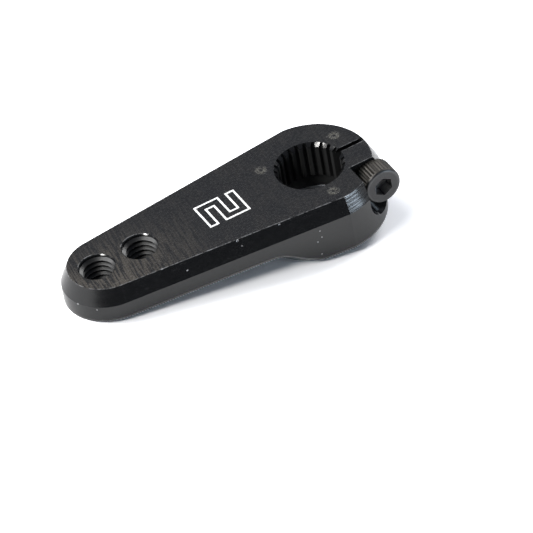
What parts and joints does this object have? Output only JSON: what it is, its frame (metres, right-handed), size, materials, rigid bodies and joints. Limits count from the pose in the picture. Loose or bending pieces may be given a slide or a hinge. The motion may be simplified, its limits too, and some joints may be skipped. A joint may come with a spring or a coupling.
{
  "type": "servo horn",
  "caption": "Short clamping servo horn: a bevelled aluminium arm on a split, toothed hub, closed by a cross screw and drilled for linkage screws near its end.",
  "frame": {"origin": "on the axis of the toothed bore, in the hub's lower face, at the mouth of the recess that goes over the servo's collar", "axes": "+Z out of the arm's upper face, which is flush with the top of the hub; +X along the arm to its round end; the hub is split on the -X side, and the clamp screw's head is on the +Y side"},
  "size_m": [0.0291, 0.0118, 0.005],
  "materials": {
    "black_anodising": "black anodised, milled and lightly brushed",
    "screw_steel": "plain steel with a rolled knurl"
  },
  "bodies": {
    "root": {"horn_arm": "black_anodising", "clamp_screw": "screw_steel"}
  },
  "joints": []
}
